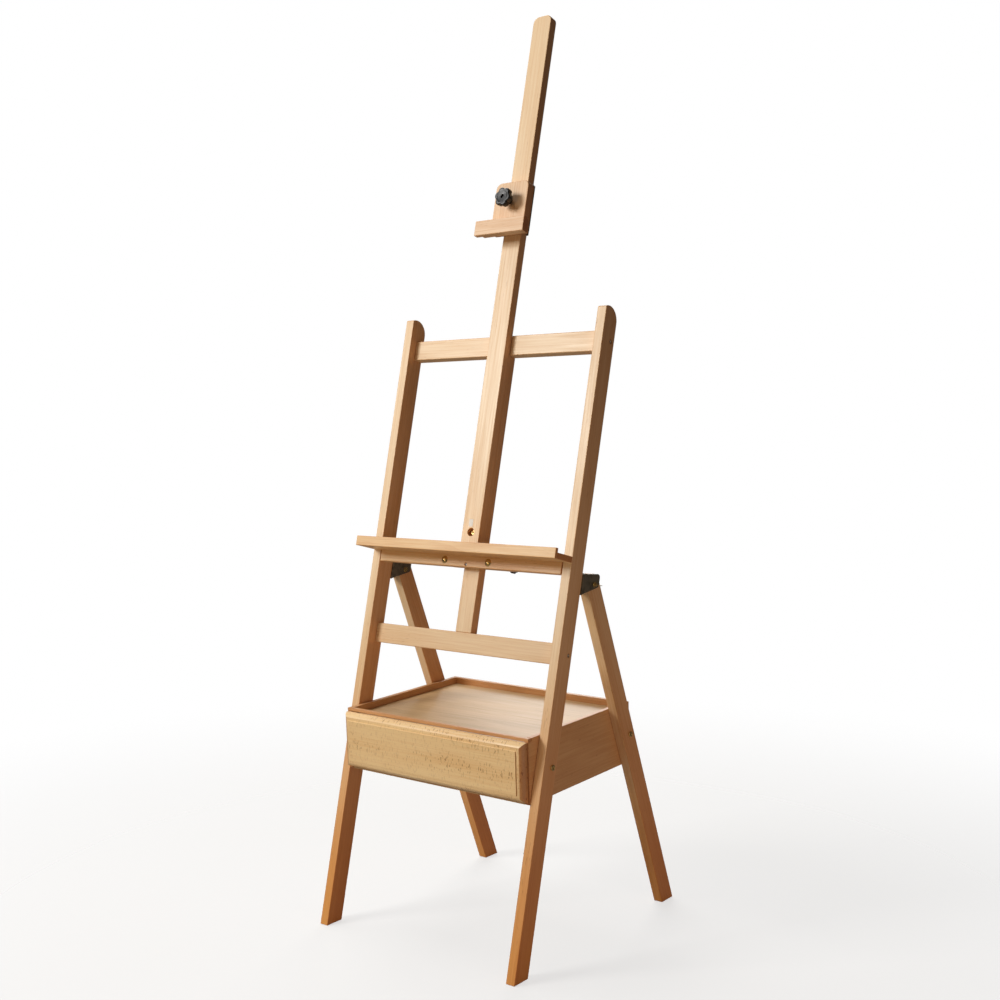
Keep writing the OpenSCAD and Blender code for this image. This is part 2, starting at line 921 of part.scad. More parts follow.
left_post();
right_post();
top_rail();
lower_rail();
centre_stile();
rail_screws();
left_bracket();
right_bracket();
left_hinge_pin();
right_hinge_pin();
bracket_screws();
case_left_side();
case_right_side();
case_back();
case_top_panel();
case_front_strip();
case_bottom_panel();
drawer_runners();
case_bolts();
mast();
mast_label();
mast_guide_bolt();
tray_rail();
tray_rail_screw();
tray_shelf();
tray_lip();
tray_bolts();
tray_keeper_bar();
left_tray_knob();
right_tray_knob();
clamp_plate();
clamp_lip_bar();
clamp_strap();
strap_screws();
clamp_knob();
clamp_screw();
drawer_front();
drawer_left_side();
drawer_right_side();
drawer_back();
drawer_bottom();
left_leg();
right_leg();
left_leg_bolt();
right_leg_bolt();
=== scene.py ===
"""Studio easel with drawer: beech boards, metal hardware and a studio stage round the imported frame."""

import json
import math

import bmesh
import bpy
from mathutils import Matrix, Vector


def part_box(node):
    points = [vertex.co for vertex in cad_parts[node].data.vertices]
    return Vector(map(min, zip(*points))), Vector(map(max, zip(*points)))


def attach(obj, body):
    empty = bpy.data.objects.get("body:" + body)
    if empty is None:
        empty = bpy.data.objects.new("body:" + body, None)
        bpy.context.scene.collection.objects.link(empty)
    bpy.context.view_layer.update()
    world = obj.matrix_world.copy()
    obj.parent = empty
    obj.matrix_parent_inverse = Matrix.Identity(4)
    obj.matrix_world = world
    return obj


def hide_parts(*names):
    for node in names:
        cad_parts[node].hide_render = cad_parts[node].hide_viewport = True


bl_info = {
    "name": "Studio Easel",
    "version": (1, 0, 0),
    "blender": (4, 5, 0),
    "location": "View3D > Sidebar > Easel",
    "description": "Finishes a studio easel with planed beech, brass bolts, star knobs and a studio stage",
    "category": "Object",
}

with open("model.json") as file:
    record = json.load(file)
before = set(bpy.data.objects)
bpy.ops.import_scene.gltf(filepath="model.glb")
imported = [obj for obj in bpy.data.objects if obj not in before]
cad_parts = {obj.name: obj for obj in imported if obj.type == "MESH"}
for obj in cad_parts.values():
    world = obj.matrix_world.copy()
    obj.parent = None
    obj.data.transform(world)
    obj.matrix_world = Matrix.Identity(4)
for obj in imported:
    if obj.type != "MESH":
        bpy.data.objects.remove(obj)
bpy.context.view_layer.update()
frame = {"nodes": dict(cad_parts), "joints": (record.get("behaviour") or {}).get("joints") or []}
JOINTS = {joint["name"]: joint for joint in frame["joints"]}

MM = 0.001

# The slope frame of the posts and the mast: u across, w backwards, v up along the posts.
ACROSS = Vector((1, 0, 0))
UP_SLOPE = Vector(JOINTS["mast_slide"]["axis"]).normalized()
BACK_SLOPE = ACROSS.cross(UP_SLOPE) * -1
SLOPE_ORIGIN = Vector((0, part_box("left_post")[0].y, 0))

# The rear legs' frame, found from the hinge and from the foot at the back of the footprint.
LEG_HINGE = Vector(JOINTS["right_leg_fold"]["pos_m"])
LEG_ANGLE = math.radians(22.3)
UP_LEG = Vector((0, -math.sin(LEG_ANGLE), math.cos(LEG_ANGLE)))
BACK_LEG = Vector((0, math.cos(LEG_ANGLE), math.sin(LEG_ANGLE)))

# The case and the drawer rise a little towards the back, along the drawer's slide.
CASE_BACK = Vector(JOINTS["drawer_slide"]["axis"]).normalized() * -1
CASE_UP = ACROSS.cross(CASE_BACK)

LEVEL_Z = Vector((0, 0, 1))

# Two axes across the grain and one along it, for each way that a board of the easel lies.
GRAIN = {
    "up_slope": (ACROSS, BACK_SLOPE, UP_SLOPE),
    "across_slope": (BACK_SLOPE, UP_SLOPE, ACROSS),
    "up_leg": (ACROSS, BACK_LEG, UP_LEG),
    "level_across": (CASE_BACK, CASE_UP, ACROSS),
    "level_back": (CASE_UP, ACROSS, CASE_BACK),
}


def on_slope(u, w, v):
    """A point given in millimetres across, behind and along the posts."""
    return SLOPE_ORIGIN + (ACROSS * u + BACK_SLOPE * w + UP_SLOPE * v) * MM


def linear(hex_colour):
    """Scene-linear RGBA of an sRGB hex colour."""
    channels = [int(hex_colour[i : i + 2], 16) / 255 for i in (1, 3, 5)]
    return (*[c / 12.92 if c <= 0.04045 else ((c + 0.055) / 1.055) ** 2.4 for c in channels], 1.0)


# ---------- settings ----------


class EaselWood(bpy.types.PropertyGroup):
    """Colours and sizes of the beech."""

    post_light: bpy.props.FloatVectorProperty(
        name="Post light", description="Early wood of the posts, the mast and the rails",
        subtype="COLOR", size=4, min=0, max=1, default=linear("#F2D7AE"))
    post_dark: bpy.props.FloatVectorProperty(
        name="Post dark", description="Late wood of the posts, the mast and the rails",
        subtype="COLOR", size=4, min=0, max=1, default=linear("#E2BB89"))
    tray_light: bpy.props.FloatVectorProperty(
        name="Tray light", description="Early wood of the tray, from a redder board than the posts",
        subtype="COLOR", size=4, min=0, max=1, default=linear("#F2CE97"))
    tray_dark: bpy.props.FloatVectorProperty(
        name="Tray dark", description="Late wood of the tray, from a redder board than the posts",
        subtype="COLOR", size=4, min=0, max=1, default=linear("#E0AE75"))
    clamp_light: bpy.props.FloatVectorProperty(
        name="Clamp light", description="Early wood of the canvas clamp, steamed beech with a pink cast",
        subtype="COLOR", size=4, min=0, max=1, default=linear("#ECCAA0"))
    clamp_dark: bpy.props.FloatVectorProperty(
        name="Clamp dark", description="Late wood of the canvas clamp, steamed beech with a pink cast",
        subtype="COLOR", size=4, min=0, max=1, default=linear("#DBAD7D"))
    front_light: bpy.props.FloatVectorProperty(
        name="Drawer front light", description="Early wood of the drawer front",
        subtype="COLOR", size=4, min=0, max=1, default=linear("#F9DAA4"))
    front_dark: bpy.props.FloatVectorProperty(
        name="Drawer front dark", description="Late wood of the drawer front",
        subtype="COLOR", size=4, min=0, max=1, default=linear("#EABF82"))
    # The case's colours are darker than the posts': partly a darker board, partly painted shade of the case's
    # sides
    case_light: bpy.props.FloatVectorProperty(
        name="Case light", description="Early wood of the case boards",
        subtype="COLOR", size=4, min=0, max=1, default=linear("#DAA772"))
    case_dark: bpy.props.FloatVectorProperty(
        name="Case dark", description="Late wood of the case boards",
        subtype="COLOR", size=4, min=0, max=1, default=linear("#C78E5A"))
    panel_light: bpy.props.FloatVectorProperty(
        name="Panel light", description="Early wood of the case's top panel and the plywood bottoms",
        subtype="COLOR", size=4, min=0, max=1, default=linear("#D6B282"))
    panel_dark: bpy.props.FloatVectorProperty(
        name="Panel dark", description="Late wood of the case's top panel and the plywood bottoms",
        subtype="COLOR", size=4, min=0, max=1, default=linear("#BC9763"))
    fleck: bpy.props.FloatVectorProperty(
        name="Fleck", description="Colour of the ray flecks",
        subtype="COLOR", size=4, min=0, max=1, default=linear("#985F30"))
    edge_round: bpy.props.FloatProperty(
        name="Edge round", description="Radius that is sanded on every board's edges",
        subtype="DISTANCE", unit="LENGTH", min=0.0002, max=0.004, default=1.4 * MM)
    ring_spacing: bpy.props.FloatProperty(
        name="Ring spacing", description="Distance from one growth ring to the next",
        subtype="DISTANCE", unit="LENGTH", min=0.001, max=0.03, default=7 * MM)
    fibre_width: bpy.props.FloatProperty(
        name="Fibre width", description="Width of the fine streaks along the grain",
        subtype="DISTANCE", unit="LENGTH", min=0.0005, max=0.02, default=2.6 * MM)
    fibre_length: bpy.props.FloatProperty(
        name="Fibre length", description="Length of the fine streaks along the grain",
        subtype="DISTANCE", unit="LENGTH", min=0.01, max=0.6, default=140 * MM)


class EaselHardware(bpy.types.PropertyGroup):
    """Colours and sizes of the metal and plastic parts."""

    brass: bpy.props.FloatVectorProperty(
        name="Brass", description="Colour of the polished brass bolts and pins",
        subtype="COLOR", size=4, min=0, max=1, default=linear("#E6C887"))
    steel: bpy.props.FloatVectorProperty(
        name="Zinc plate", description="Colour of the zinc-plated screws",
        subtype="COLOR", size=4, min=0, max=1, default=linear("#BDBBB4"))
    bronze: bpy.props.FloatVectorProperty(
        name="Bronze coat", description="Colour of the brackets and the strap",
        subtype="COLOR", size=4, min=0, max=1, default=linear("#7A7362"))
    nylon: bpy.props.FloatVectorProperty(
        name="Black nylon", description="Colour of the star knobs",
        subtype="COLOR", size=4, min=0, max=1, default=linear("#111214"))
    sides: bpy.props.IntProperty(
        name="Sides", description="Number of sides of turned parts; a multiple of 24 keeps hexagons sharp",
        min=24, max=192, default=72)
    knob_lobes: bpy.props.IntProperty(
        name="Knob lobes", description="Number of lobes round a star knob", min=3, max=8, default=6)


class EaselStage(bpy.types.PropertyGroup):
    """The studio round the easel."""

    floor: bpy.props.FloatVectorProperty(
        name="Floor", description="Colour of the pale floor",
        subtype="COLOR", size=4, min=0, max=1, default=linear("#F4F3F1"))
    floor_radius: bpy.props.FloatProperty(
        name="Floor radius", description="Radius of the floor before it fades into the backdrop",
        subtype="DISTANCE", unit="LENGTH", min=1.0, max=10.0, default=2.6)
    key_power: bpy.props.FloatProperty(
        name="Key power", description="Power of the large softbox at the front left",
        subtype="POWER", unit="POWER", min=0, max=2000, default=62)
    fill_power: bpy.props.FloatProperty(
        name="Fill power", description="Power of the softbox beside the camera",
        subtype="POWER", unit="POWER", min=0, max=2000, default=20)
    top_power: bpy.props.FloatProperty(
        name="Top power", description="Power of the softbox overhead",
        subtype="POWER", unit="POWER", min=0, max=2000, default=62)
    back_power: bpy.props.FloatProperty(
        name="Back power", description="Power of the softbox behind the easel",
        subtype="POWER", unit="POWER", min=0, max=2000, default=42)
    side_power: bpy.props.FloatProperty(
        name="Side power", description="Power of the small low softbox on the right",
        subtype="POWER", unit="POWER", min=0, max=2000, default=1.7)
    ambient: bpy.props.FloatProperty(
        name="Ambient", description="Strength of the even light from all round", min=0, max=2, default=0.085)


# ---------- node helper ----------


def add(tree, kind, inputs=None, **settings):
    """One shader node with its settings, and its sockets set to values or linked to other sockets."""
    made = tree.nodes.new(kind)
    for name, value in settings.items():
        setattr(made, name, value)
    for name, value in (inputs or {}).items():
        if isinstance(value, bpy.types.NodeSocket):
            tree.links.new(value, made.inputs[name])
        else:
            made.inputs[name].default_value = value
    return made


def new_material(name, base):
    """An empty material with a Principled shader, and a plain viewport colour."""
    made = bpy.data.materials.new(name)
    made.use_nodes = True
    made.diffuse_color = base
    tree = made.node_tree
    tree.nodes.clear()
    shader = add(tree, "ShaderNodeBsdfPrincipled", {"Base Color": base})
    add(tree, "ShaderNodeOutputMaterial", {"Surface": shader.outputs["BSDF"]})
    return made, tree, shader


def blend_colour(tree, factor, first, second, mode="MIX"):
    """The colour socket of a mix of two colours."""
    made = add(tree, "ShaderNodeMix", data_type="RGBA", blend_type=mode)
    for socket, value in ((made.inputs[0], factor), (made.inputs[6], first), (made.inputs[7], second)):
        if isinstance(value, bpy.types.NodeSocket):
            tree.links.new(value, socket)
        else:
            socket.default_value = value
    return made.outputs[2]


def between(tree, value, low, high, to_low=0.0, to_high=1.0):
    """A value squeezed smoothly from one range to another."""
    made = add(tree, "ShaderNodeMapRange", {0: value, 1: low, 2: high, 3: to_low, 4: to_high},
        interpolation_type="SMOOTHSTEP")
    return made.outputs[0]


def sum_of(tree, *terms):
    """The socket of a sum of (value, weight) pairs."""
    total = None
    for value, weight in terms:
        made = add(tree, "ShaderNodeMath", {0: value, 1: weight, 2: total if total else 0.0},
            operation="MULTIPLY_ADD")
        total = made.outputs[0]
    return total


def noise(tree, place, scale, detail, roughness=0.5):
    """The value socket of a noise."""
    return add(tree, "ShaderNodeTexNoise", {
        "Vector": place, "Scale": scale, "Detail": detail, "Roughness": roughness}).outputs[0]


def raise_relief(tree, shader, strength, depth, height):
    """Bumps a shader's surface by a height socket. The depth is in millimetres."""
    bump = add(tree, "ShaderNodeBump", {"Strength": strength, "Distance": depth * MM, "Height": height})
    tree.links.new(bump.outputs["Normal"], shader.inputs["Normal"])


# ---------- wood ----------

# What the narrow sides and the feet keep of the face colour, as painted shade, and what the sawn ends keep of
# it
SIDE_PAINTED_SHADE = {
    "post": (0.87, 0.66, 0.53, 1.0), "tray": (0.84, 0.62, 0.50, 1.0), "clamp": (0.80, 0.60, 0.48, 1.0),
    "case": (1.0, 0.96, 0.92, 1.0), "panel": (0.95, 0.88, 0.80, 1.0)}
END_TINT = (0.80, 0.66, 0.55, 1.0)
FOOT_PAINTED_SHADE = (0.92, 0.56, 0.24, 1.0)
FOOT_PAINTED_SHADE_TOP = 0.75


def beech(name, grain, centre, light, dark, wood, figure=0.25, pith=(45, 60), seed=0.0, gloss=0.42,
        fleck_size=(2.2, 2.2, 16.0), fleck_share=0.38, ring_share=0.10, tone="post", end_tint=END_TINT,
        end_from=(0.25, 0.95), edge=False):
    """European beech, planed, sanded and sprayed with a thin satin varnish.

    Straight pale fibres with faint growth rings, short darker ray flecks, and a soft low sheen. The pattern
    is solid, so a board's end shows the ends of the same rings. Beech fibres are far finer than a millimetre.
    They are drawn a few millimetres wide, so that they show from across a room.
    """
    made, tree, shader = new_material(name, light)
    axes = Matrix([list(axis) for axis in GRAIN[grain]])
    pith_offset = Vector((pith[0] * MM, pith[1] * MM, seed * 1.7))
    place = add(tree, "ShaderNodeTexCoord").outputs["Object"]
    board = add(tree, "ShaderNodeMapping", {
        "Vector": place, "Rotation": axes.to_euler("XYZ"), "Location": pith_offset - axes @ Vector(centre)})
    board = board.outputs["Vector"]

    def stretched(width, thickness, length):
        sizes = (1 / (width * MM), 1 / (thickness * MM), 1 / (length * MM))
        return add(tree, "ShaderNodeVectorMath", {0: board, 1: sizes}, operation="MULTIPLY").outputs[0]

    fibre_width, fibre_length = wood.fibre_width / MM, wood.fibre_length / MM
    fibres = add(tree, "ShaderNodeTexNoise", {
        "Vector": stretched(fibre_width, fibre_width, fibre_length), "Scale": 1.0, "Detail": 3.0,
        "Roughness": 0.6, "Distortion": 0.15}).outputs[0]
    # Slow bends of the trunk, which make the rings wander by about their own spacing
    wander = add(tree, "ShaderNodeTexNoise", {
        "Vector": stretched(60, 60, 420), "Scale": 1.0, "Detail": 2.0, "Roughness": 0.5}).outputs[1]
    bent = add(tree, "ShaderNodeVectorMath", {0: wander, 1: (0.03, 0.03, 0.0), 2: board},
        operation="MULTIPLY_ADD").outputs[0]
    ring_scale = 2 * math.pi / (20 * wood.ring_spacing)
    rings = add(tree, "ShaderNodeTexWave", {
        "Vector": bent, "Scale": ring_scale, "Distortion": 1.2, "Detail": 2.0, "Detail Scale": 0.6},
        wave_type="RINGS", rings_direction="Z", wave_profile="SAW").outputs[1]
    patches = noise(tree, stretched(38, 38, 260), 1.0, 2.0)
    late_wood = sum_of(tree, (fibres, 0.6), (rings, ring_share), (patches, 0.55))
    late_wood = between(tree, late_wood, 0.36, 0.9)
    colour = blend_colour(tree, late_wood, light, dark)

    fleck_noise = noise(tree, stretched(*fleck_size), 1.0, 1.0, 0.4)
    fleck_zone = between(tree, patches, 0.42, 0.62, 0.25, 1.0)
    flecks = between(tree, fleck_noise, 0.78 - 0.3 * fleck_share, 0.86 - 0.3 * fleck_share)
    flecks = add(tree, "ShaderNodeMath", {0: flecks, 1: fleck_zone}, operation="MULTIPLY").outputs[0]
    shown_flecks = add(tree, "ShaderNodeMath", {0: flecks, 1: figure}, operation="MULTIPLY").outputs[0]
    colour = blend_colour(tree, shown_flecks, colour, tuple(wood.fleck))
    # The narrow sides are drawn darker and redder, as painted shade; the ends are open grain, drink more
    # varnish and turn redder
    facing = add(tree, "ShaderNodeTexCoord").outputs["Normal"]
    for axis, tint, reach in ((ACROSS, SIDE_PAINTED_SHADE[tone], (0.55, 0.95)), (GRAIN[grain][2], end_tint, end_from)):
        turned = add(tree, "ShaderNodeVectorMath", {0: facing, 1: axis}, operation="DOT_PRODUCT")
        share = add(tree, "ShaderNodeMath", {0: turned.outputs["Value"]}, operation="ABSOLUTE").outputs[0]
        colour = blend_colour(tree, between(tree, share, *reach), colour, tint, "MULTIPLY")
    # Painted shade: the lower ends are drawn darker and more golden towards the floor
    if tone == "post":
        height = add(tree, "ShaderNodeSeparateXYZ", {0: place}).outputs["Z"]
        colour = blend_colour(tree, between(tree, height, FOOT_PAINTED_SHADE_TOP, 0.0), colour, FOOT_PAINTED_SHADE, "MULTIPLY")
    if edge:
        # The sanded edges are drawn a little darker and warmer than the faces
        colour = blend_colour(tree, 0.55, colour, (0.86, 0.66, 0.46, 1.0), "MULTIPLY")
    tree.links.new(colour, shader.inputs["Base Color"])

    sheen = between(tree, fibres, 0.3, 0.7, gloss - 0.05, gloss + 0.08)
    tree.links.new(sheen, shader.inputs["Roughness"])
    relief = sum_of(tree, (fibres, 0.6), (flecks, -0.35))
    raise_relief(tree, shader, 0.35, 0.25, relief)
    shader.inputs["IOR"].default_value = 1.5
    shader.inputs["Coat Weight"].default_value = 0.12
    shader.inputs["Coat Roughness"].default_value = 0.3
    return made


# ---------- metal, plastic and paper ----------


def turned_metal(name, colour, rough, scratch, patina=0.0, patina_colour=None, metallic=1.0):
    """Turned or pressed metal with fine scratches and, where it is coated, thin cloudy patina.

    The scratches are finer than a tenth of a millimetre and are drawn about half a millimetre wide.
    """
    made, tree, shader = new_material(name, colour)
    place = add(tree, "ShaderNodeTexCoord").outputs["Object"]
    grit = noise(tree, place, 1 / (scratch * MM), 4.0, 0.65)
    clouds = noise(tree, place, 1 / (14 * MM), 5.0, 0.6)
    shade = between(tree, clouds, 0.3, 0.75)
    darker = tuple(c * 0.72 for c in colour[:3]) + (1.0,)
    body = blend_colour(tree, shade, colour, darker)
    if patina:
        spots = between(tree, clouds, 0.48, 0.66, 0.0, patina)
        body = blend_colour(tree, spots, body, patina_colour)
    tree.links.new(body, shader.inputs["Base Color"])
    tree.links.new(between(tree, grit, 0.25, 0.75, rough - 0.07, rough + 0.1), shader.inputs["Roughness"])
    raise_relief(tree, shader, 0.25, 0.05, grit)
    shader.inputs["Metallic"].default_value = metallic
    return made


def moulded_nylon(name, colour):
    """Glass-filled nylon, injection moulded: near black, semi-matt, with a fine spark-eroded grain."""
    made, tree, shader = new_material(name, colour)
    place = add(tree, "ShaderNodeTexCoord").outputs["Object"]
    grain = noise(tree, place, 1 / (0.9 * MM), 2.0)
    handling = noise(tree, place, 1 / (11 * MM), 3.0)
    worn = tuple(min(1.0, c * 1.9 + 0.004) for c in colour[:3]) + (1.0,)
    tree.links.new(blend_colour(tree, between(tree, handling, 0.45, 0.75), colour, worn),
        shader.inputs["Base Color"])
    tree.links.new(between(tree, handling, 0.3, 0.7, 0.34, 0.46), shader.inputs["Roughness"])
    raise_relief(tree, shader, 0.4, 0.06, grain)
    shader.inputs["IOR"].default_value = 1.53
    return made


def label_paper(name):
    """Uncoated white label paper: matt, with faint fibres and a faint cream mottle."""
    white = linear("#F4F3EE")
    made, tree, shader = new_material(name, white)
    place = add(tree, "ShaderNodeTexCoord").outputs["Object"]
    pulp = noise(tree, place, 1 / (2.2 * MM), 4.0, 0.7)
    tree.links.new(blend_colour(tree, between(tree, pulp, 0.35, 0.75), white, linear("#E2DED2")),
        shader.inputs["Base Color"])
    tree.links.new(between(tree, pulp, 0.3, 0.7, 0.78, 0.9), shader.inputs["Roughness"])
    raise_relief(tree, shader, 0.3, 0.05, pulp)
    return made


# ---------- shapes ----------


def finish_mesh(name, work, body, material, replaces, sharp_angle=38):
    """Turns a worked shape into a piece that rides on a body, with shading broken at sharp edges."""
    bmesh.ops.recalc_face_normals(work, faces=work.faces)
    mesh = bpy.data.meshes.new(name)
    work.to_mesh(mesh)
    work.free()
    mesh.polygons.foreach_set("use_smooth", [True] * len(mesh.polygons))
    mesh.set_sharp_from_angle(angle=math.radians(sharp_angle))
    mesh.materials.append(material)
    piece = bpy.data.objects.new(name, mesh)
    bpy.context.scene.collection.objects.link(piece)
    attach(piece, body)
    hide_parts(*replaces)
    return piece


def ease_board(node, round_radius, segments=3):
    """Rounds the edges of a board that comes from the frame, by modifiers on its own mesh."""
    board = frame["nodes"][node]
    weld = board.modifiers.new("weld", "WELD")
    weld.merge_threshold = 0.01 * MM
    flat = board.modifiers.new("flat faces", "DECIMATE")
    flat.decimate_type = "DISSOLVE"
    flat.angle_limit = math.radians(1)
    board.modifiers.new("even triangles", "TRIANGULATE")
    ease = board.modifiers.new("eased edges", "BEVEL")
    ease.width = round_radius
    ease.segments = segments
    ease.limit_method = "ANGLE"
    ease.angle_limit = math.radians(40)
    ease.use_clamp_overlap = False
    ease.loop_slide = False
    ease.miter_outer = "MITER_ARC"
    ease.material = 1
    shade = board.modifiers.new("shading", "WEIGHTED_NORMAL")
    shade.keep_sharp = True
    return board


def polygon_shape(inner_radius, sides):
    """Radius of a regular polygon round a circle of inner_radius."""
    step = 2 * math.pi / sides
    return lambda turn: inner_radius / math.cos((turn % step) - step / 2)


def star_shape(radius, lobes, inset=0.0):
    """Radius of a star knob's outline, with wide lobes and narrow valleys."""
    return lambda turn: radius * (0.83 + 0.17 * (0.5 + 0.5 * math.cos(lobes * turn)) ** 0.62) - inset


def cross_shape(reach, arm):
    """Radius of a cross recess with four arms."""
    def radius(turn):
        off = ((turn + math.pi / 4) % (math.pi / 2)) - math.pi / 4
        return min(reach, arm / 2 / max(abs(math.sin(off)), 1e-6))
    return radius


def add_turned(work, rings, start, axis, sides, turn_by=0.0):
    """Adds a closed solid turned round an axis. Each ring is (shape, distance along the axis), in mm."""
    axis = axis.normalized()
    side = axis.cross(LEVEL_Z if abs(axis.z) < 0.9 else ACROSS).normalized()
    other = axis.cross(side)
    loops = []
    for shape, along in rings:
        centre = start + axis * along * MM
        loops.append([
            work.verts.new(
                centre + (side * math.cos(turn) + other * math.sin(turn)) * radius(shape, turn, turn_by))
            for turn in (2 * math.pi * i / sides for i in range(sides))])
    for low, high in zip(loops, loops[1:]):
        for i in range(sides):
            j = (i + 1) % sides
            work.faces.new((low[i], low[j], high[j], high[i]))
    for loop, along, flip in ((loops[0], rings[0][1], True), (loops[-1], rings[-1][1], False)):
        middle = work.verts.new(start + axis * along * MM)
        for i in range(sides):
            j = (i + 1) % sides
            pair = (loop[j], loop[i]) if flip else (loop[i], loop[j])
            work.faces.new((middle, *pair))


def radius(shape, turn, turn_by):
    """The radius in metres of a ring, which is a number or a function of the turn in millimetres."""
    return (shape(turn + turn_by) if callable(shape) else shape) * MM


def dome(head_radius, height, steps=9, start_at=0.0):
    """Rings of a domed head, from its rim to near its top."""
    sphere = (head_radius**2 + height**2) / (2 * height)
    edge = math.asin(min(1.0, head_radius / sphere))
    rings = []
    for i in range(steps):
        angle = edge * (1 - i / steps)
        rings.append((sphere * math.sin(angle), start_at + sphere * (math.cos(angle) - math.cos(edge))))
    rings.append((0.05, start_at + height))
    return rings


def add_wire(work, points, wire_radius, sides=12):
    """Adds a round wire that follows points, in metres, with rounded ends."""
    loops = []
    previous = None
    for i, point in enumerate(points):
        ahead = points[min(i + 1, len(points) - 1)] - points[max(i - 1, 0)]
        ahead.normalize()
        if previous is None:
            side = ahead.cross(ACROSS if abs(ahead.x) < 0.9 else LEVEL_Z).normalized()
        else:
            side = (previous - ahead * previous.dot(ahead)).normalized()
        previous = side
        other = ahead.cross(side)
        scale = 0.45 if i in (0, len(points) - 1) else 1.0
        loops.append([
            work.verts.new(point + (side * math.cos(t) + other * math.sin(t)) * wire_radius * scale * MM)
            for t in (2 * math.pi * k / sides for k in range(sides))])
    for low, high in zip(loops, loops[1:]):
        for k in range(sides):
            work.faces.new((low[k], low[(k + 1) % sides], high[(k + 1) % sides], high[k]))
    work.faces.new(list(reversed(loops[0])))
    work.faces.new(loops[-1])


def centre_of(node):
    low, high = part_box(node)
    return (low + high) / 2


# ---------- boards ----------

# Each board that keeps its frame shape: grain direction, tone, strength of the figure and the pith's
# offset in mm
POST_BOARDS = (
    ("left_post", "up_slope", "post", 0.30, (70, 38)),
    ("right_post", "up_slope", "post", 0.34, (-52, 66)),
    ("top_rail", "across_slope", "post", 0.22, (64, -30)),
    ("lower_rail", "across_slope", "post", 0.30, (48, 58)),
    ("centre_stile", "up_slope", "post", 0.36, (-18, 34)),
)
MAST_BOARDS = (
    ("mast", "up_slope", "post", 0.24, (90, 42)),
    ("tray_rail", "across_slope", "tray", 0.34, (52, -44)),
    ("tray_shelf", "across_slope", "tray", 0.26, (-70, 36)),
    ("tray_lip", "across_slope", "tray", 0.26, (80, 30)),
    ("tray_keeper_bar", "across_slope", "post", 0.3, (36, 44)),
)
CLAMP_BOARDS = (
    ("clamp_plate", "up_slope", "clamp", 0.2, (84, -52)),
    ("clamp_lip_bar", "across_slope", "clamp", 0.18, (66, 52)),
)
LEG_BOARDS = (
    ("left_leg", "up_leg", "post", 0.30, (58, 44)),
    ("right_leg", "up_leg", "post", 0.34, (-62, 48)),
)
CASE_BOARDS = (
    ("case_left_side", "level_back", "case", 0.4, (46, 70)),
    ("case_right_side", "level_back", "case", 0.5, (-58, 62)),
    ("case_back", "level_across", "case", 0.4, (60, -48)),
    ("case_front_strip", "level_across", "case", 0.3, (38, 52)),
    ("drawer_runners", "level_back", "case", 0.3, (30, 40)),
    ("case_top_panel", "level_across", "panel", 0.3, (120, 180)),
    ("case_bottom_panel", "level_across", "panel", 0.3, (130, 160)),
)
DRAWER_BOARDS = (
    ("drawer_left_side", "level_back", "panel", 0.3, (44, 66)),
    ("drawer_right_side", "level_back", "panel", 0.3, (-50, 58)),
    ("drawer_back", "level_across", "panel", 0.3, (62, 40)),
    ("drawer_bottom", "level_across", "panel", 0.3, (140, 150)),
)
THIN_BOARDS = {"case_bottom_panel", "drawer_bottom", "case_top_panel", "drawer_runners"}


def finish_boards(context, boards):
    """Gives each board its own beech, cut from its own place in the tree, and sanded edges."""
    wood = context.scene.easel_wood
    for count, (node, grain, tone, figure, pith) in enumerate(boards):
        light = tuple(getattr(wood, tone + "_light"))
        dark = tuple(getattr(wood, tone + "_dark"))
        seed = 0.37 * (count + 1) + 0.11 * len(node)
        settings = dict(grain=grain, centre=centre_of(node), light=light, dark=dark, wood=wood,
            figure=figure, pith=pith, seed=seed, tone=tone)
        board = ease_board(node, wood.edge_round * (0.3 if node in THIN_BOARDS else 1.0))
        board.data.materials.clear()
        board.data.materials.append(beech("varnished_beech_" + node, **settings))
        board.data.materials.append(beech("sanded_edge_" + node, edge=True, **settings))


class EASEL_OT_posts(bpy.types.Operator):
    """Finish the two posts, the two fixed rails and the centre stile"""

    bl_idname = "easel.posts"
    bl_label = "Posts and rails"

    def execute(self, context):
        finish_boards(context, POST_BOARDS)
        return {"FINISHED"}


class EASEL_OT_mast_and_tray(bpy.types.Operator):
    """Finish the sliding mast and the boards of the canvas tray"""

    bl_idname = "easel.mast_and_tray"
    bl_label = "Mast and canvas tray"

    def execute(self, context):
        finish_boards(context, MAST_BOARDS)
        return {"FINISHED"}


class EASEL_OT_clamp_boards(bpy.types.Operator):
    """Finish the plate and the lip bar of the upper canvas clamp"""

    bl_idname = "easel.clamp_boards"
    bl_label = "Canvas clamp"

    def execute(self, context):
        finish_boards(context, CLAMP_BOARDS)
        return {"FINISHED"}


class EASEL_OT_rear_legs(bpy.types.Operator):
    """Finish the two folding rear legs"""

    bl_idname = "easel.rear_legs"
    bl_label = "Rear legs"

    def execute(self, context):
        finish_boards(context, LEG_BOARDS)
        return {"FINISHED"}


class EASEL_OT_drawer_case(bpy.types.Operator):
    """Finish the drawer case with its recessed top"""

    bl_idname = "easel.drawer_case"
    bl_label = "Drawer case"

    def execute(self, context):
        finish_boards(context, CASE_BOARDS)
        return {"FINISHED"}


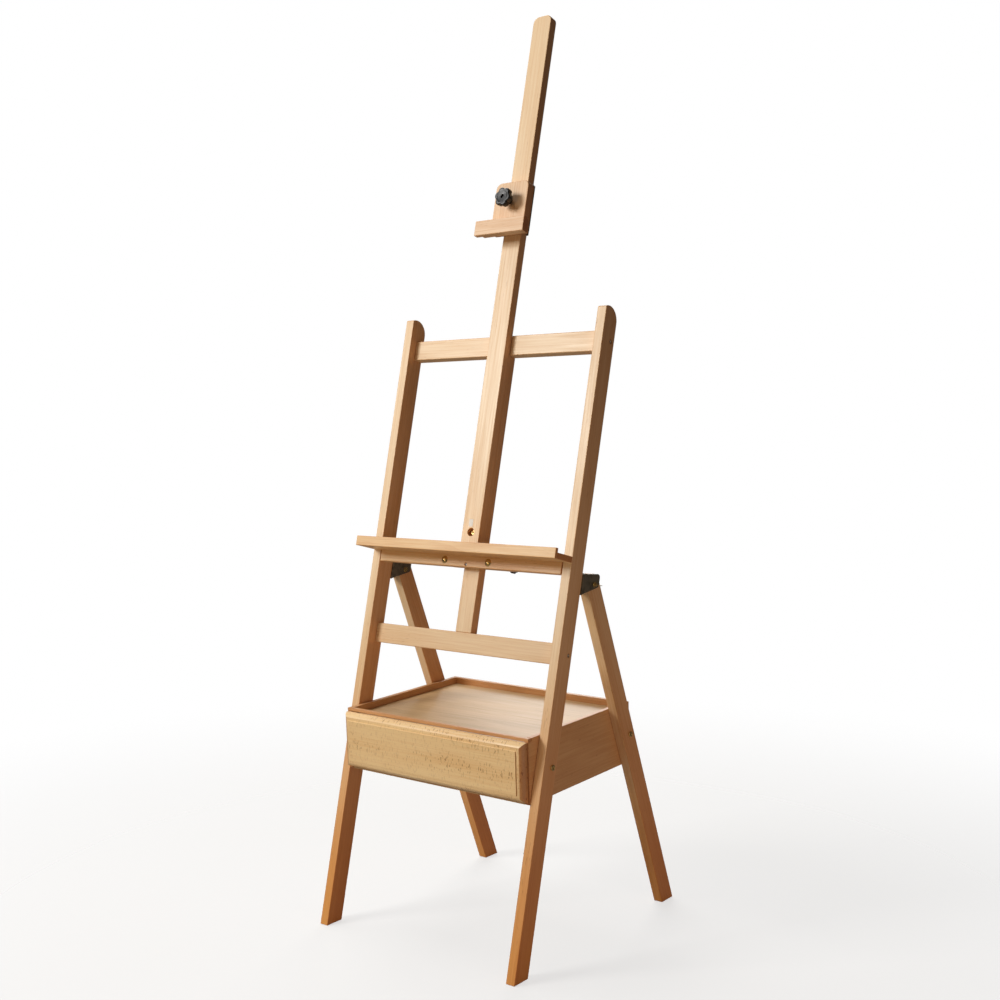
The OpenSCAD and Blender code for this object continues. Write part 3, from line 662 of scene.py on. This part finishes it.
class EASEL_OT_drawer(bpy.types.Operator):
    """Finish the drawer box and mould its front, with a flat field, a small step and a rounded border"""

    bl_idname = "easel.drawer"
    bl_label = "Drawer"

    border: bpy.props.FloatProperty(
        name="Border", description="Width of the rounded border round the field",
        subtype="DISTANCE", unit="LENGTH", default=18 * MM, min=0.005, max=0.04)
    step: bpy.props.FloatProperty(
        name="Step", description="Depth of the small step round the field",
        subtype="DISTANCE", unit="LENGTH", default=2 * MM, min=0.0005, max=0.005)
    fall: bpy.props.FloatProperty(
        name="Fall", description="How far the border curves back",
        subtype="DISTANCE", unit="LENGTH", default=16 * MM, min=0.002, max=0.018)

    def profile(self):
        """(distance in from the edge, distance behind the face) from the back of the front to its field."""
        wide = self.border - self.step
        points = [(0.0, self.step + self.fall)]
        turns = 20
        for i in range(1, turns + 1):
            angle = math.pi / 2 * (1 - i / turns)
            points.append((wide * (1 - math.sin(angle)), self.step + self.fall * (1 - math.cos(angle))))
        soft = 0.35 * MM
        points[-1] = (wide - soft, self.step)
        points.append((wide, self.step - soft * 0.4))
        points.append((wide + soft * 0.3, soft))
        points.append((wide + soft * 1.4, 0.0))
        return points

    def execute(self, context):
        finish_boards(context, DRAWER_BOARDS)
        wood = context.scene.easel_wood
        corners = [vertex.co for vertex in frame["nodes"]["drawer_front"].data.vertices]
        (left, right), (face, back), (low, high) = (
            (min(c.dot(axis) for c in corners), max(c.dot(axis) for c in corners))
            for axis in (ACROSS, CASE_BACK, CASE_UP))
        work = bmesh.new()
        soft_back = 1.0 * MM
        rings = [(soft_back, back - face), (0.0, back - face - soft_back)] + self.profile()
        loops = []
        for inset, depth in rings:
            loops.append([work.verts.new(ACROSS * x + CASE_BACK * (face + depth) + CASE_UP * z) for x, z in (
                (left + inset, low + inset), (right - inset, low + inset),
                (right - inset, high - inset), (left + inset, high - inset))])
        for first, second in zip(loops, loops[1:]):
            for i in range(4):
                j = (i + 1) % 4
                work.faces.new((first[i], first[j], second[j], second[i]))
        work.faces.new(loops[0])
        work.faces.new(loops[-1])
        # The border's ends are end grain and darker, and are drawn darker still as painted shade where the
        # border turns away from the light
        front_beech = beech("varnished_beech_drawer_front", "level_across", centre_of("drawer_front"),
            tuple(wood.front_light), tuple(wood.front_dark), wood, figure=0.7, pith=(-170, 26), seed=0.9,
            fleck_size=(8.0, 8.0, 2.4), fleck_share=0.62, ring_share=0.03, tone="case",
            end_tint=(0.58, 0.37, 0.26, 1.0), end_from=(0.05, 0.45))
        finish_mesh("drawer_front_panel", work, "drawer", front_beech, ["drawer_front"],
            sharp_angle=30)
        return {"FINISHED"}


# ---------- hardware ----------

# How far up the posts the bolts and the clamp's knob sit, and how far out the tray bolts do, in mm
CASE_BOLT_V, TRAY_BOLT_V, GUIDE_BOLT_V, CLAMP_KNOB_V = 440, 845, 909, 1636
TRAY_BOLT_U = 60.5
# Where a hinge pin's head and its washer lie against the bracket, from the middle, in mm
PIN_HEAD_U, PIN_WASHER_U = 250.6, 277.4


def metal(context, kind):
    """The finish of a kind of hardware, made once."""
    hardware = context.scene.easel_hardware
    made = {
        "brass": lambda n: turned_metal(n, tuple(hardware.brass), 0.24, 0.5),
        "zinc": lambda n: turned_metal(n, tuple(hardware.steel), 0.36, 0.4),
        "bronze": lambda n: turned_metal(n, tuple(hardware.bronze), 0.46, 0.6, 0.45, linear("#4A4336"), 0.5),
        "nylon": lambda n: moulded_nylon(n, tuple(hardware.nylon)),
        "paper": label_paper,
    }
    names = {"brass": "polished_brass", "zinc": "zinc_plated_steel", "bronze": "bronze_coated_steel",
        "nylon": "moulded_black_nylon", "paper": "white_label_paper"}
    return bpy.data.materials.get(names[kind]) or made[kind](names[kind])


class EASEL_OT_bolts(bpy.types.Operator):
    """Turn the brass bolts of the tray, the mast, the case and the rear legs"""

    bl_idname = "easel.bolts"
    bl_label = "Bolts"

    tray_bolt_offset: bpy.props.FloatProperty(name="Tray bolt offset",
        description="Distance of each tray bolt from the centre, in millimetres",
        default=TRAY_BOLT_U, min=40, max=120)

    def socket_head(self, work, start, axis, sides, head_radius, height, shank, shank_radius=3.0):
        """A low cap head with a chamfer and a hexagon socket, and its shank below."""
        hexagon = polygon_shape(2.3, 6)
        add_turned(work, [
            (shank_radius, -shank), (shank_radius, 0.0), (head_radius - 0.3, 0.0), (head_radius, 0.3),
            (head_radius, height - 0.9), (head_radius - 0.25, height - 0.4), (head_radius - 0.9, height),
            (3.3, height), (3.0, height - 0.15), (hexagon, height - 0.5), (hexagon, height - 2.4),
            (0.05, height - 2.8)], start, axis, sides)

    def execute(self, context):
        sides = context.scene.easel_hardware.sides
        brass = metal(context, "brass")

        work = bmesh.new()
        front = BACK_SLOPE * -1
        for side in (-1, 1):
            seat = on_slope(side * self.tray_bolt_offset, -0.4, TRAY_BOLT_V)
            add_turned(work, [(3.0, -92.9), (3.0, 0.0), (8.1, 0.0), (8.5, 0.35)]
                + dome(8.5, 4.1, start_at=0.36)[1:], seat, front, sides)
        finish_mesh("brass_tray_bolts", work, "mast_and_tray", brass, ["tray_bolts"])

        work = bmesh.new()
        seat = on_slope(0, 13.5, GUIDE_BOLT_V)
        self.socket_head(work, seat, front, sides, 5.5, 4.0, 40.5)
        add_turned(work, [(3.2, 0.0), (8.6, 0.0), (9.0, 0.3), (9.0, 1.3), (8.6, 1.6), (3.2, 1.6)],
            on_slope(0, 45.4, GUIDE_BOLT_V), BACK_SLOPE, sides)
        nut = polygon_shape(5.0, 6)
        add_turned(work, [(3.2, 0.0), (5.0, 0.0), (nut, 0.5), (nut, 4.4), (5.0, 5.0), (3.2, 5.0)],
            on_slope(0, 47.0, GUIDE_BOLT_V), BACK_SLOPE, sides)
        finish_mesh("brass_guide_bolt", work, "mast_and_tray", brass, ["mast_guide_bolt"])

        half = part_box("right_post")[1].x / MM
        work = bmesh.new()
        for side in (-1, 1):
            seat = on_slope(side * half, 28.7, CASE_BOLT_V)
            self.socket_head(work, seat, ACROSS * side, sides, 6.5, 3.5, 32.4)
        finish_mesh("brass_case_bolts", work, "frame", brass, ["case_bolts"])

        for side, body in ((-1, "left_rear_leg"), (1, "right_rear_leg")):
            work = bmesh.new()
            place = Vector((side * half * MM, LEG_HINGE.y, LEG_HINGE.z)) + (UP_LEG * -378 + BACK_LEG * 5) * MM
            self.socket_head(work, place, ACROSS * side, sides, 6.5, 3.5, 21.4)
            word = "left" if side < 0 else "right"
            finish_mesh(f"{word}_brass_leg_bolt", work, body, brass, [f"{word}_leg_bolt"])
        return {"FINISHED"}


class EASEL_OT_screws(bpy.types.Operator):
    """Make the zinc-plated screws with cross recesses"""

    bl_idname = "easel.screws"
    bl_label = "Screws"

    def pan_head(self, work, start, axis, sides, head_radius, height, shank, shank_radius):
        """A pan head with a cross recess, on a pointed shank."""
        cross = cross_shape(head_radius * 0.6, head_radius * 0.24)
        small_cross = cross_shape(head_radius * 0.3, head_radius * 0.16)
        add_turned(work, [
            (0.05, -shank), (shank_radius * 0.6, -shank + 2.0), (shank_radius, -shank + 4.0),
            (shank_radius, 0.0), (head_radius, 0.0), (head_radius, height * 0.45),
            (head_radius * 0.93, height * 0.75),
            (head_radius * 0.8, height * 0.95), (head_radius * 0.66, height), (cross, height * 0.98),
            (small_cross, height * 0.25)], start, axis, sides)

    def execute(self, context):
        sides = context.scene.easel_hardware.sides
        zinc = metal(context, "zinc")
        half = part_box("right_post")[1].x / MM

        work = bmesh.new()
        for side in (-1, 1):
            for w, v in ((32.5, 1325.75), (34.0, 670.0)):
                seat = on_slope(side * (half - 3.6), w, v)
                self.pan_head(work, seat, ACROSS * side, sides, 4.0, 1.6, 41, 2.0)
        finish_mesh("zinc_rail_screws", work, "frame", zinc, ["rail_screws"])

        work = bmesh.new()
        for side in (-1, 1):
            for v in (812, 832):
                seat = on_slope(side * (half - 11), 47, v)
                self.pan_head(work, seat, BACK_SLOPE, sides, 4.0, 2.0, 16, 2.0)
        finish_mesh("zinc_bracket_screws", work, "frame", zinc, ["bracket_screws"])

        work = bmesh.new()
        self.pan_head(work, on_slope(0, 3.1, 838), BACK_SLOPE * -1, sides, 3.0, 1.6, 15, 1.9)
        finish_mesh("zinc_tray_rail_screw", work, "mast_and_tray", zinc,
            ["tray_rail_screw"])

        work = bmesh.new()
        for u in (-35.5, 35.5):
            for v in (1589, 1659):
                self.pan_head(work, on_slope(u, 3.0, v), BACK_SLOPE, sides, 3.0, 1.7, 12, 1.5)
        finish_mesh("zinc_strap_screws", work, "canvas_clamp", zinc, ["strap_screws"])
        return {"FINISHED"}


class EASEL_OT_knobs(bpy.types.Operator):
    """Mould the star knobs of the clamp and the tray, and turn the clamp's screw"""

    bl_idname = "easel.knobs"
    bl_label = "Star knobs"

    def star(self, work, start, axis, sides, lobes, outer, height, hub, hub_length, hole, hole_depth,
            turn_by):
        """A star knob: a hub, a lobed head with rolled edges, a dished face and a hole in its middle."""
        edge = outer * 0.11
        rings = [(hub * 0.92, -hub_length), (hub, -hub_length + 0.5), (hub, -1.2), (hub + 0.9, -0.3),
            (star_shape(outer, lobes, outer * 0.16), 0.0)]
        for i in range(1, 5):
            angle = math.pi / 2 * i / 4
            rings.append((star_shape(outer, lobes, edge * (1 - math.sin(angle))),
                edge * (1 - math.cos(angle))))
        for i in range(0, 6):
            angle = math.pi / 2 * i / 5
            rings.append((star_shape(outer, lobes, edge * 1.3 * (1 - math.cos(angle))),
                height - edge * 1.3 * (1 - math.sin(angle))))
        dish = outer * 0.62
        rings += [(dish + 0.6, height), (dish, height - 0.25), (dish * 0.8, height - outer * 0.035),
            (hole + 0.9, height - outer * 0.035), (hole + 0.3, height - outer * 0.035 - 0.2),
            (hole, height - outer * 0.035 - 0.7), (hole, height - hole_depth), (0.05, height - hole_depth)]
        add_turned(work, rings, start, axis, sides, turn_by)

    def execute(self, context):
        hardware = context.scene.easel_hardware
        nylon = metal(context, "nylon")
        sides = hardware.sides * 2
        work = bmesh.new()
        self.star(work, on_slope(0, -38, CLAMP_KNOB_V), BACK_SLOPE * -1, sides, hardware.knob_lobes,
            21, 14, 8, 14.8, 3.8, 5.0, math.radians(12))
        finish_mesh("clamp_star_knob", work, "clamp_lock", nylon, ["clamp_knob"],
            sharp_angle=50)
        work = bmesh.new()
        add_turned(work, [(2.2, 0.0), (2.9, 0.7), (3.0, 1.2), (3.0, 43.6), (2.6, 44.3)],
            on_slope(0, -43, CLAMP_KNOB_V), BACK_SLOPE, hardware.sides)
        finish_mesh("clamp_threaded_rod", work, "clamp_lock",
            metal(context, "zinc"), ["clamp_screw"])
        for side, word in ((-1, "left"), (1, "right")):
            work = bmesh.new()
            self.star(work, on_slope(side * TRAY_BOLT_U, 86, TRAY_BOLT_V), BACK_SLOPE, sides,
                hardware.knob_lobes, 10, 13, 6.5, 19.0, 2.6, 1.6, math.radians(20 + 9 * side))
            finish_mesh(f"{word}_tray_star_knob", work,
                f"{word}_tray_lock", nylon, [f"{word}_tray_knob"], sharp_angle=50)
        return {"FINISHED"}


class EASEL_OT_hinges(bpy.types.Operator):
    """Ease the edges of the leg brackets and the clamp strap and coat them in bronze, and make the brass
    hinge pins with their split pins
    """

    bl_idname = "easel.hinges"
    bl_label = "Brackets and hinge pins"

    def split_pin(self, side, across):
        """Points of a split pin's wire: an eye, a straight run through the hinge pin and a bent tip."""
        points = []
        for i in range(9):
            angle = math.pi * (0.15 + 1.6 * i / 8)
            points.append((-6.6 + 2.2 * math.cos(angle), 2.2 * math.sin(angle)))
        points += [(-3.6, 0.1), (-2.0, 0.0), (4.0, 0.0), (12.0, 0.1), (19.0, 0.5), (25.0, 1.2)]
        return [self.on_pin(side, across, w, v) for w, v in points]

    def on_pin(self, side, across, back=0.0, up=0.0):
        """A point in millimetres from the centre plane and from the axis of a hinge pin."""
        axis_point = Vector((0, LEG_HINGE.y, LEG_HINGE.z))
        return axis_point + (ACROSS * side * across + BACK_SLOPE * back + UP_SLOPE * up) * MM

    def execute(self, context):
        sides = context.scene.easel_hardware.sides
        bronze, brass = metal(context, "bronze"), metal(context, "brass")
        for node, slot in (("left_bracket", "bronze_steel"), ("right_bracket", "bronze_steel"),
                ("clamp_strap", "bronze_steel")):
            sheet = ease_board(node, 0.55 * MM, 2)
            sheet.data.materials.clear()
            sheet.data.materials.append(bronze)
            sheet.data.materials.append(bronze)
        grip = PIN_WASHER_U - PIN_HEAD_U
        for side, word in ((-1, "left"), (1, "right")):
            work = bmesh.new()
            add_turned(work, [(5.4, -2.2), (6.0, -1.5), (6.0, -0.4), (5.6, 0.0), (3.0, 0.0),
                (3.0, grip + 5.3), (2.4, grip + 6.0)], self.on_pin(side, PIN_HEAD_U), ACROSS * side, sides)
            add_turned(work, [(3.1, 0.0), (5.7, 0.0), (6.0, 0.3), (6.0, 1.2), (5.7, 1.5), (3.1, 1.5)],
                self.on_pin(side, PIN_WASHER_U + 0.05), ACROSS * side, sides)
            add_wire(work, self.split_pin(side, PIN_WASHER_U + 3.6), 0.9)
            finish_mesh(f"{word}_brass_hinge_pin", work, "frame", brass, [f"{word}_hinge_pin"])
        return {"FINISHED"}


class EASEL_OT_label(bpy.types.Operator):
    """Stick the blank paper label on the mast"""

    bl_idname = "easel.label"
    bl_label = "Blank label"

    def execute(self, context):
        label = ease_board("mast_label", 0.1 * MM, 1)
        label.data.materials.clear()
        paper = metal(context, "paper")
        label.data.materials.append(paper)
        label.data.materials.append(paper)
        return {"FINISHED"}


# ---------- stage ----------


class EASEL_OT_stage(bpy.types.Operator):
    """Lay the pale floor, hang the softboxes and place the camera"""

    bl_idname = "easel.stage"
    bl_label = "Studio stage"

    camera_place: bpy.props.FloatVectorProperty(name="Camera place", description="Where the camera stands",
        subtype="TRANSLATION", unit="LENGTH", size=3, default=(1.7321, -2.2264, 1.0963))
    camera_turn: bpy.props.FloatVectorProperty(name="Camera turn",
        description="Pitch, roll and heading of the camera", subtype="EULER", unit="ROTATION", size=3,
        default=(math.radians(-7.78), math.radians(-0.37), math.radians(37.84)))
    lens: bpy.props.FloatProperty(name="Lens", description="Focal length in millimetres on a 36 mm sensor",
        default=45.68, min=10, max=200)
    rise: bpy.props.FloatProperty(name="Rise",
        description="Upward shift of the lens, as a share of the frame", default=0.106, min=-0.5, max=0.5)

    def softbox(self, name, place, target, width, height, power, colour, spread=180):
        light = bpy.data.lights.new(name, "AREA")
        light.shape = "RECTANGLE"
        light.size, light.size_y = width, height
        light.energy = power
        light.color = linear(colour)[:3]
        light.spread = math.radians(spread)
        box = bpy.data.objects.new(name, light)
        box.location = place
        box.rotation_euler = (Vector(target) - Vector(place)).to_track_quat("-Z", "Y").to_euler()
        box.visible_camera = False
        bpy.context.scene.collection.objects.link(box)

    def lay_floor(self, stage):
        """A round pale floor whose rim fades into the backdrop."""
        reach = stage.floor_radius
        work = bmesh.new()
        bmesh.ops.create_circle(work, cap_ends=True, segments=96, radius=reach)
        mesh = bpy.data.meshes.new("studio_floor")
        work.to_mesh(mesh)
        work.free()
        floor = bpy.data.objects.new("studio_floor", mesh)
        floor.location.z = -0.0006
        made, tree, shader = new_material("matt_white_vinyl_floor", tuple(stage.floor))
        shader.inputs["Roughness"].default_value = 0.75
        shader.inputs["Specular IOR Level"].default_value = 0.2
        place = add(tree, "ShaderNodeTexCoord").outputs["Object"]
        distance = add(tree, "ShaderNodeVectorMath", {0: place}, operation="LENGTH").outputs["Value"]
        mottle = noise(tree, place, 1.5, 3.0)
        tree.links.new(blend_colour(tree, between(tree, mottle, 0.3, 0.7, 0.0, 0.25), tuple(stage.floor),
            linear("#ECEAE6")), shader.inputs["Base Color"])
        tree.links.new(between(tree, distance, reach * 0.3, reach * 0.98, 0.32, 0.0), shader.inputs["Alpha"])
        mesh.materials.append(made)
        bpy.context.scene.collection.objects.link(floor)

    def light_world(self, stage):
        """A plain white backdrop, and a weak even light from all round."""
        world = bpy.data.worlds.new("studio_world")
        world.use_nodes = True
        tree = world.node_tree
        tree.nodes.clear()
        backdrop = add(tree, "ShaderNodeBackground", {"Color": (1.0, 1.0, 1.0, 1.0), "Strength": 1.0})
        even = add(tree, "ShaderNodeBackground", {"Color": linear("#FFE3CF"), "Strength": stage.ambient})
        seen = add(tree, "ShaderNodeLightPath").outputs["Is Camera Ray"]
        both = add(tree, "ShaderNodeMixShader", {0: seen, 1: even.outputs[0], 2: backdrop.outputs[0]})
        add(tree, "ShaderNodeOutputWorld", {"Surface": both.outputs[0]})
        bpy.context.scene.world = world

    def execute(self, context):
        stage = context.scene.easel_stage
        scene = context.scene
        scene.view_settings.view_transform = "Standard"
        self.light_world(stage)
        self.lay_floor(stage)
        self.softbox("key_softbox", (-2.3, -3.4, 3.0), (0.0, 0.1, 1.35), 1.6, 1.6,
            stage.key_power, "#FFFDFA", 120)
        self.softbox("fill_softbox", (-0.4, -4.2, 0.7), (0.0, 0.0, 0.7), 1.8, 1.2,
            stage.fill_power, "#FFDDB0")
        self.softbox("top_softbox", (-1.5, 0.4, 3.8), (0.5, 0.2, 0.0), 2.2, 2.2,
            stage.top_power, "#FFFFFF")
        self.softbox("back_softbox", (-1.8, 3.4, 2.2), (0.0, 0.3, 0.7), 1.8, 1.8,
            stage.back_power, "#FFFDF8")
        self.softbox("side_softbox", (2.7, -0.7, 0.5), (0.2, 0.1, 0.4), 1.2, 0.8,
            stage.side_power, "#FFF0E4", 60)
        lens = bpy.data.cameras.new("studio_camera")
        lens.sensor_width = 36.0
        lens.lens = self.lens
        lens.shift_y = self.rise
        camera = bpy.data.objects.new("studio_camera", lens)
        pitch, roll, heading = self.camera_turn
        turn = (Matrix.Rotation(heading, 4, "Z") @ Matrix.Rotation(math.pi / 2 + pitch, 4, "X")
            @ Matrix.Rotation(roll, 4, "Z"))
        camera.matrix_world = Matrix.Translation(self.camera_place) @ turn
        scene.collection.objects.link(camera)
        scene.camera = camera
        return {"FINISHED"}


class EASEL_PT_sidebar(bpy.types.Panel):
    """Sidebar with the easel's steps and settings"""

    bl_idname = "EASEL_PT_sidebar"
    bl_label = "Studio Easel"
    bl_space_type = "VIEW_3D"
    bl_region_type = "UI"
    bl_category = "Easel"

    def draw(self, context):
        for step in STEPS:
            self.layout.operator(step.bl_idname)
        for name in ("easel_wood", "easel_hardware", "easel_stage"):
            settings = getattr(context.scene, name)
            box = self.layout.box()
            for prop in settings.bl_rna.properties:
                if prop.identifier not in ("rna_type", "name"):
                    box.prop(settings, prop.identifier)


SETTINGS = {"easel_wood": EaselWood, "easel_hardware": EaselHardware, "easel_stage": EaselStage}
STEPS = (EASEL_OT_stage, EASEL_OT_posts, EASEL_OT_mast_and_tray, EASEL_OT_clamp_boards, EASEL_OT_rear_legs,
    EASEL_OT_drawer_case, EASEL_OT_drawer, EASEL_OT_bolts, EASEL_OT_screws, EASEL_OT_knobs, EASEL_OT_hinges,
    EASEL_OT_label)


def register():
    for name, group in SETTINGS.items():
        bpy.utils.register_class(group)
        setattr(bpy.types.Scene, name, bpy.props.PointerProperty(type=group))
    for step in STEPS:
        bpy.utils.register_class(step)
    bpy.utils.register_class(EASEL_PT_sidebar)


def unregister():
    bpy.utils.unregister_class(EASEL_PT_sidebar)
    for step in reversed(STEPS):
        bpy.utils.unregister_class(step)
    for name, group in SETTINGS.items():
        delattr(bpy.types.Scene, name)
        bpy.utils.unregister_class(group)


def main():
    register()
    for step in STEPS:
        package, name = step.bl_idname.split(".")
        getattr(getattr(bpy.ops, package), name)()


if __name__ == "__main__":
    main()
